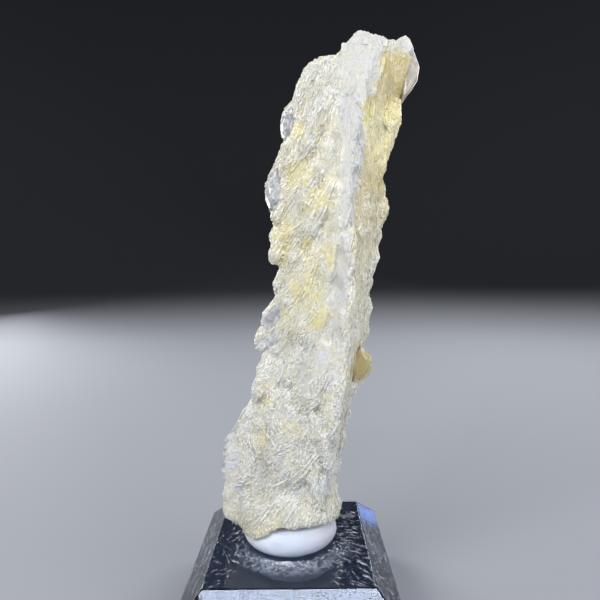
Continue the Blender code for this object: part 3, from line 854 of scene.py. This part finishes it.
def grow_crown(skin, tree, shapes, growth, rng):
    """Short upright points whose tips follow the crown's line."""
    depth = [v.co.y for v in skin.verts if v.co.z > TOP + CROWN[0][1] * MM]
    for _ in range(CROWN_POINTS):
        x = CROWN[0][0] + (CROWN[-1][0] - CROWN[0][0]) * rng.random()
        start = Vector((x * MM, rng.uniform(min(depth), max(depth)), TOP + 134 * MM))
        ground, _, _, _ = tree.ray_cast(start, Vector((0, 0, -1)))
        crown = TOP + between(CROWN, x) * MM
        if ground is None or ground.z < crown - 3 * MM:
            continue
        tip = min(crown + rng.uniform(-0.45, 0.1) * MM, ground.z + 0.5 * MM)
        axis = Vector((rng.gauss(0.22, 0.12), rng.gauss(0, 0.15), 1)).normalized()
        width = rng.uniform(1.2, 2.6) * MM
        length = rng.uniform(2.2, 3.4) * MM
        facing = Vector((rng.uniform(-1, 1), -1, 0))
        middle = Vector((ground.x, ground.y, tip)) - axis * length / 2
        set_crystal(growth, rng.choice(shapes)[0], middle, axis, facing, width, length)


def keep_outer_skin(mesh):
    """Drops the sealed gaps that overlapping crystals leave inside."""
    bm = bmesh.new()
    bm.from_mesh(mesh)
    waiting = set(bm.verts)
    groups = []
    for first in bm.verts:
        if first not in waiting:
            continue
        waiting.discard(first)
        group = [first]
        for vert in group:
            fresh = [o for o in (e.other_vert(vert) for e in vert.link_edges) if o in waiting]
            waiting.difference_update(fresh)
            group.extend(dict.fromkeys(fresh))
        groups.append(group)
    groups.sort(key=len)
    bmesh.ops.delete(bm, geom=[vert for group in groups[:-1] for vert in group], context="VERTS")
    bm.to_mesh(mesh)
    bm.free()


def mark_stone(mesh):
    """Stores at each corner, in mm, the stone behind it and its way from the white band and the ochre.

    First it clears up what thinning leaves behind: loose corners, small holes and bent faces.
    """
    bm = bmesh.new()
    bm.from_mesh(mesh)
    bmesh.ops.delete(bm, geom=[v for v in bm.verts if not v.link_faces], context="VERTS")
    bmesh.ops.holes_fill(bm, edges=[e for e in bm.edges if e.is_boundary], sides=6)
    bmesh.ops.triangulate(bm, faces=bm.faces)
    bm.normal_update()
    bm.to_mesh(mesh)
    tree = BVHTree.FromBMesh(bm)
    behind, from_band, from_ochre = [], [], []
    for vert in bm.verts:
        inward = -vert.normal
        hit, _, _, distance = tree.ray_cast(vert.co + inward * 0.05 * MM, inward)
        behind.append((distance if hit is not None else 0.0) / MM)
        x, height = vert.co.x / MM, (vert.co.z - TOP) / MM
        from_band.append(x - between(BAND_EDGE, height))
        from_ochre.append(x - between(OCHRE_EDGE, height))
    bm.free()
    for polygon, tint in zip(mesh.polygons, mesh.attributes["tint"].data):
        clearness = clear_at(polygon.center)
        if clearness is not None and clearness > 1:
            tint.value = clearness
    stored = {"stone_behind": behind, "from_band": from_band, "from_ochre": from_ochre}
    for name, values in stored.items():
        mesh.attributes.new(name, "FLOAT", "POINT").data.foreach_set("value", values)


# Ovals on the front: x and height of the middle, reach across and up, in mm.
DARKER_OVALS = [
    (-4.5, 21, 4.5, 5), (-8.5, 14, 5, 4), (4, 30, 3.5, 5), (7.7, 67.5, 2.4, 4.2), (-9, 5, 6, 3),
    (1, 54, 4, 3), (7, 113, 4, 5), (8.5, 103, 3, 6),
]
COOL = [
    (-15, 21.6, 3, 4.6), (-12.5, 15, 2.4, 3), (9.8, 21, 2, 4.4), (1.3, 15.2, 2, 3), (8, 49, 2.6, 2.4),
    (0.3, 33.8, 1.6, 1.4), (8.4, 14.5, 2.6, 3.5), (-1.5, 20, 2, 2.5),
]
STAINS = [
    (5.0, 76.5, 3.2, 2.6), (10.6, 74.4, 1.7, 2.8), (10.7, 70.1, 1.9, 2.8), (6.0, 68.5, 1.9, 5.5),
    (5.9, 64, 2.3, 4.2), (2.2, 65, 1.9, 5.5), (8.7, 59.5, 2.2, 4.2), (7.5, 57, 3.4, 2.8),
    (2.6, 104, 2.4, 3), (1.7, 94, 2.6, 5), (5.1, 94, 1.8, 4), (7.9, 86.5, 4, 4), (-3.6, 8.8, 3, 3),
    (-7.5, 28, 2.4, 7), (0.3, 30.5, 5, 3), (10.3, 36.5, 2.2, 5), (-6, 38, 3.5, 4.5), (-1, 78, 3, 9),
    (-4, 6, 8, 3), (-7.7, 28, 1.2, 4), (4.5, 12, 1, 4), (11.3, 11, 1.3, 5), (10.8, 37, 1.4, 4),
]
TOOTH = [(19.5, 45.5, 5, 7)]  # the amber crystal at the right edge
QUARTZ_IOR = 1.544
GREYISH, MILKY = (0.56, 0.56, 0.53, 1.0), (0.93, 0.935, 0.91, 1.0)
BAND_GREY = (0.66, 0.655, 0.645, 1.0)
CREAM = (0.86, 0.82, 0.60, 1.0)
BLUISH = (0.72, 0.78, 0.88, 1.0)
DARKENED_GREY = (0.50, 0.495, 0.44, 1.0)
LEMON = (0.88, 0.79, 0.38, 1.0)
RUST_LOW, STAIN_WITH_PAINTED_LIGHT, STAIN_WITH_PAINTED_SHADE = (0.68, 0.56, 0.24, 1.0), (0.97, 0.86, 0.44, 1.0), (0.64, 0.52, 0.20, 1.0)
AMBER = (0.50, 0.41, 0.19, 1.0)
PAINTED_CREST_HIGHLIGHT = (0.99, 0.98, 0.95, 1.0)
PAINTED_PIT_SHADE = (0.27, 0.26, 0.21, 1.0)
GLASS, GLASS_AT_RIGHT, VEIL = (0.83, 0.85, 0.88, 1.0), (0.62, 0.55, 0.48, 1.0), (0.93, 0.93, 0.93, 1.0)


def quartz_finish():
    """Milky quartz with its stains; thin stone and clear crystals let light through."""
    finish, mm = new_finish("milky_quartz")
    height = mm.node("ShaderNodeSeparateXYZ", None, {"Vector": mm}, output="Z") - TOP / MM
    broad = mm.noise(0.10, 4.0)
    patchy = mm.noise(0.32, 5.0, 0.8)
    fine = mm.noise(1.6, 4.0, 0.4)
    stored = {}
    for name in ("tint", "stone_behind", "from_band", "from_ochre"):
        stored[name] = mm.node("ShaderNodeAttribute", {"attribute_name": name}, output="Fac")
    tint = stored["tint"]
    edge = mm.node("ShaderNodeNewGeometry", output="Pointiness")
    raised = edge.step(0.50, 0.56)
    sunk = 1 - edge.step(0.43, 0.50)

    # Grain: flat facets, long along the blades, with seams between them.
    tilt = math.radians(-22)
    turned = mm.node("ShaderNodeVectorRotate", {"rotation_type": "Y_AXIS"}, {"Vector": mm, "Angle": tilt})
    drift = mm.node("ShaderNodeTexNoise", None, {"Vector": mm, "Scale": 0.22, "Detail": 2.0}, "Color")
    swing = drift.vector("SUBTRACT", (0.5, 0.5, 0.5))
    grain = turned.vector("ADD", swing.vector("MULTIPLY", (6.0, 6.0, 3.0))).scaled(2.4, 2.4, 0.85)
    facets = grain.facets()
    tone = mm.node("ShaderNodeTexVoronoi", None, {"Vector": grain, "Scale": 1.0}, output="Color")
    tone = mm.node("ShaderNodeSeparateColor", None, {0: tone})
    seams = 1 - grain.seams().step(0.03, 0.12)

    # Where the colours lie. Their borders waver with the drift and the patches.
    wavy = mm.vector("ADD", swing.vector("MULTIPLY", (7.0, 0.0, 7.0)))
    wavy = wavy.vector("ADD", patchy.vector("MULTIPLY", (1.6, 0.0, 1.6)))

    def spots(places):
        """1 on each of the ovals, and more where they overlap."""
        sum_of_all = 0.0
        for x, middle, across, up in places:
            place = (x + 0.8, 0.0, middle + TOP / MM + 0.8)
            off = wavy.away_from(place, (1 / across, 0.0, 1 / up))
            sum_of_all = sum_of_all + (1 - off.step(0.15, 1.1))
        return sum_of_all

    waver = 3.0 * (patchy - 0.5) + 1.2 * (fine - 0.5)
    band = (stored["from_band"] + waver).step(-1.0, 1.0)
    ochre_side = (stored["from_ochre"] + waver).step(-0.5, 0.9)
    white = band * (1 - ochre_side) * height.step(46.0, 60.0)
    tooth = spots(TOOTH)
    ochre = ochre_side * (0.22 + 0.78 * height.step(62.0, 98.0)) * (1 - height.step(121.5, 125.0))
    ochre = ochre * (0.45 + 0.55 * broad.step(0.20, 0.44)) * (0.62 + 0.38 * patchy.step(0.30, 0.60))
    ochre = (ochre + tooth).lower(1.0)
    wash = mm.noise(0.20, 4.0, 1.2).step(0.40, 0.66)
    upper = 0.50 + 0.50 * height.step(34.0, 56.0)
    off_vein = mm.noise(0.7, 3.0, 1.0) - 0.5
    veins = 0.25 + 0.75 * (1 - off_vein.math("ABSOLUTE", off_vein).step(0.02, 0.10))
    halfway = 0.12 * height.step(48.0, 60.0) * (1 - height.step(90.0, 104.0))
    stains = 1.5 * spots(STAINS).lower(1.2) * patchy.step(0.26, 0.54) * veins
    lemon = (0.32 * wash + 0.11 + halfway + stains) * upper
    lemon = (lemon * (0.65 + 0.5 * fine + 0.3 * sunk) * (1 - 0.7 * white) * (1 - ochre)).lower(1.0)

    # The colours, one over the other: body, stains with painted light and shade on the ochre, painted
    # highlights on the crests, painted shade in the pits, and at last the clear crystals.
    milk = 0.22 * tint.lower(1.0) + 0.30 * tone + 0.42 * fine.step(0.35, 0.65) + 0.20 * white
    body = milk.mix(GREYISH, MILKY)
    body = (0.70 * white).mix(body, BAND_GREY)
    drifted = wavy.noise(0.55, 4.0, 0.5)
    warm = drifted.step(0.50, 0.64) * (1 - 0.6 * white)
    body = (0.42 * warm).mix(body, CREAM)
    blue_spots = spots(COOL).lower(1.0)
    cool = (1 - drifted.step(0.36, 0.48) + 0.8 * blue_spots).lower(1.0)
    body = (0.40 * cool + 0.46 * blue_spots).mix(body, BLUISH)
    # Darker grey in ovals and towards the bottom, most just above the putty; the darkening of the crown, from
    # 100 mm up, is painted shade.
    darkening = 0.50 * spots(DARKER_OVALS).lower(1.0) + 0.16 * (1 - height.step(10.0, 50.0))
    darkening = darkening + 0.65 * (1 - height.step(7.0, 12.5)) + 0.16 * height.step(100.0, 120.0)
    body = darkening.mix(body, DARKENED_GREY)
    stained = (0.90 * lemon).mix(body, LEMON)
    # The ochre stain, painted lighter from about 100 mm where its bulge faces the lamps, and painted darker
    # from about 110 mm up as painted shade.
    stain_light_and_shade = height.step(93.0, 100.0).mix(RUST_LOW, STAIN_WITH_PAINTED_LIGHT)
    stain_light_and_shade = height.step(108.5, 113.0).mix(stain_light_and_shade, STAIN_WITH_PAINTED_SHADE)
    stained = (0.92 * ochre).mix(stained, stain_light_and_shade)
    stained = (0.7 * tooth).lower(0.7).mix(stained, AMBER)
    calm = (0.45 + 0.55 * mm.noise(0.13, 2.0).step(0.36, 0.56)).higher(1 - height.step(38.0, 62.0))
    calm = calm * (1 - 0.50 * white) * (1 - 0.60 * ochre) * (1 - 0.42 * height.step(86.0, 104.0))
    calm = calm * (1 + 0.50 * ochre_side * (1 - height.step(84.0, 100.0)))
    clearness = tint.step(1.2, 1.8)
    # Painted highlights: crests and the seams between facets are painted near white, as if catching the
    # lamps.
    bright = (0.60 * raised + 0.40 * seams * tone.step(0.4, 0.8)).lower(0.8) * calm
    bright = bright * (1 - clearness) * (1 - tooth.lower(1.0)) * (0.5 + 0.5 * height.step(5.0, 12.0))
    stained = bright.mix(stained, PAINTED_CREST_HIGHLIGHT)
    # Painted shade: dark spots and the hollows between crystals are painted dark brown, as if in shade.
    pits = mm.noise(2.6, 2.0).step(0.68, 0.74)
    colour = (0.45 * pits + 0.40 * sunk).lower(0.7).mix(stained, PAINTED_PIT_SHADE)
    glass = ochre_side.mix(GLASS, GLASS_AT_RIGHT)
    glass = (0.5 * fine.step(0.40, 0.62) * (1 - 0.6 * ochre_side)).mix(glass, VEIL)
    colour = (0.85 * clearness).mix(colour, glass)

    # Relief, then the milky stone and the clear one, and how much of each.
    mottle = mm.noise(1.9, 2.0).step(0.42, 0.62) * (1 - height.step(30.0, 56.0))
    relief = (facets + 0.35 * fine + 0.30 * mottle) * calm
    milky = mm.surface(
        {
            "Base Color": colour,
            "Roughness": 0.10 + 0.22 * patchy + 0.28 * white,
            "IOR": QUARTZ_IOR,
            "Subsurface Weight": 0.18,
            "Subsurface Radius": (1.0, 0.95, 0.85),
            "Subsurface Scale": 0.9 * MM,
            "Normal": relief.bump(0.9, 0.30 * MM),
        }
    )
    clear = mm.surface(
        {
            "Base Color": (0.97, 0.975, 0.98, 1.0),
            "Roughness": 0.10,
            "IOR": QUARTZ_IOR,
            "Transmission Weight": 1.0,
            "Normal": mm.noise(0.9, 3.0).bump(0.6, 0.2 * MM),
        }
    )
    thin = (1 - stored["stone_behind"].step(0.4, 1.8)) * broad.step(0.30, 0.60) * (1 - ochre)
    veils = mm.noise(0.5, 4.0, 1.0).step(0.40, 0.62)
    glassy = clearness * (0.50 - 0.35 * veils) * (1 - 0.35 * ochre_side)
    glassy = glassy + 0.12 * tint.step(2.2, 2.8)
    glassy = glassy.higher(0.5 * thin)
    shader = mm.node("ShaderNodeMixShader", None, {0: glassy, 1: milky, 2: clear})
    close_finish(shader)
    return finish


def make_crystal():
    """The stem and all that grows on it, joined in one skin, thinned and coloured."""
    crystal = make_stem()
    growth = bpy.data.collections.new("growth")
    bpy.context.scene.collection.children.link(growth)
    skin = bmesh.new()
    skin.from_mesh(crystal.data)
    tree = BVHTree.FromBMesh(skin)
    shapes = crystal_shapes()
    rng = random.Random(SEED)
    grow_all_over(skin, tree, shapes, growth, rng)
    grow_ribs(tree, shapes, growth, rng)
    grow_crown(skin, tree, shapes, growth, rng)
    grow_clear(skin, growth)
    skin.free()
    joining = crystal.modifiers.new("join", "BOOLEAN")
    joining.operation = "UNION"
    joining.solver = "MANIFOLD"
    joining.operand_type = "COLLECTION"
    joining.collection = growth
    joined = applied(crystal)
    bpy.data.batch_remove(list(growth.objects))
    bpy.data.collections.remove(growth)
    keep_outer_skin(joined)
    joined.calc_loop_triangles()
    thinning = crystal.modifiers.new("thin", "DECIMATE")
    thinning.ratio = min(1.0, FACES_IN_ALL / len(joined.loop_triangles))
    joined = applied(crystal)
    mark_stone(joined)
    joined.materials.clear()
    joined.materials.append(quartz_finish())
    joined.shade_flat()
    return crystal


crystal = make_crystal()
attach(crystal, "root")
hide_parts("quartz_crystal")


# ---- Floor and light ---------------------------------------------------------------------------
# A plain pale floor that sweeps up into a darker wall all round, with soft lamps: a square key at
# the upper left, a long one high in front, a large fill at the right and two rim lamps behind.

# radius and height in m
SWEEP = [(0.20, 0.0), (0.35, 0.0), (0.55, 0.02), (0.72, 0.09), (0.84, 0.22), (0.90, 0.42), (0.92, 0.9)]
SWEEP_SIDES = 96
FLOOR_GAP = 0.1 * MM  # so that the block's underside and the floor don't share a plane
PALE, DARK = (0.31, 0.325, 0.36, 1.0), (0.020, 0.021, 0.026, 1.0)
AIM = Vector((0.006, 0, 0.08))
LAMPS = [  # name, place and size in m, power in W, colour
    ("key", (-0.40, -0.42, 0.48), (0.34, 0.34), 3.35, (1.0, 0.985, 0.96)),
    ("front", (0.0, -0.43, 0.58), (0.32, 0.062), 1.25, (0.84, 0.88, 1.0)),
    ("fill", (0.50, -0.36, 0.22), (0.5, 0.5), 2.9, (0.97, 0.985, 1.0)),
    ("rim_right", (0.30, 0.42, 0.36), (0.4, 0.25), 1.8, (1.0, 1.0, 1.0)),
    ("rim_left", (-0.40, 0.36, 0.26), (0.25, 0.4), 1.8, (1.0, 1.0, 1.0)),
]
ROOM_LIGHT = (0.55, 0.58, 0.62, 1.0)
ROOM_STRENGTH = 0.25


def floor_finish():
    finish, mm = new_finish("pale_floor")
    height = mm.node("ShaderNodeSeparateXYZ", None, {"Vector": mm}, output="Z")
    # The colour darkens from the pale floor up the wall: painted shade, in place of light that falls off
    # behind the specimen.
    colour = height.step(1.0, 75.0).mix(PALE, DARK)
    close_finish(mm.surface({"Base Color": colour, "Roughness": 0.8}))
    return finish


def make_floor():
    """Rings of corners from the floor up the wall."""
    bm = bmesh.new()
    rings = []
    for radius, height in SWEEP:
        ring = []
        for i in range(SWEEP_SIDES):
            angle = 2 * math.pi * i / SWEEP_SIDES
            ring.append(bm.verts.new((radius * math.cos(angle), radius * math.sin(angle), height)))
        rings.append(ring)
    bm.faces.new(rings[0])
    for lower, upper in zip(rings, rings[1:]):
        join_rings(bm, lower, upper)
    bmesh.ops.recalc_face_normals(bm, faces=bm.faces)
    bmesh.ops.reverse_faces(bm, faces=[f for f in bm.faces if f.normal.z < 0])
    floor = new_piece("floor", bm, floor_finish())
    floor.data.shade_smooth()
    floor.location.z = block_low.z - FLOOR_GAP


make_floor()
for name, place, size, power, colour in LAMPS:
    lamp = bpy.data.lights.new(name, "AREA")
    lamp.shape = "RECTANGLE"
    lamp.size, lamp.size_y = size
    lamp.energy = power
    lamp.color = colour
    holder = bpy.data.objects.new(name, lamp)
    bpy.context.scene.collection.objects.link(holder)
    holder.location = place
    holder.rotation_euler = (AIM - holder.location).to_track_quat("-Z", "Y").to_euler()

world = bpy.data.worlds.new("room")
world.use_nodes = True
background = world.node_tree.nodes["Background"]
background.inputs["Color"].default_value = ROOM_LIGHT
background.inputs["Strength"].default_value = ROOM_STRENGTH
bpy.context.scene.world = world
bpy.context.scene.view_settings.view_transform = "Standard"
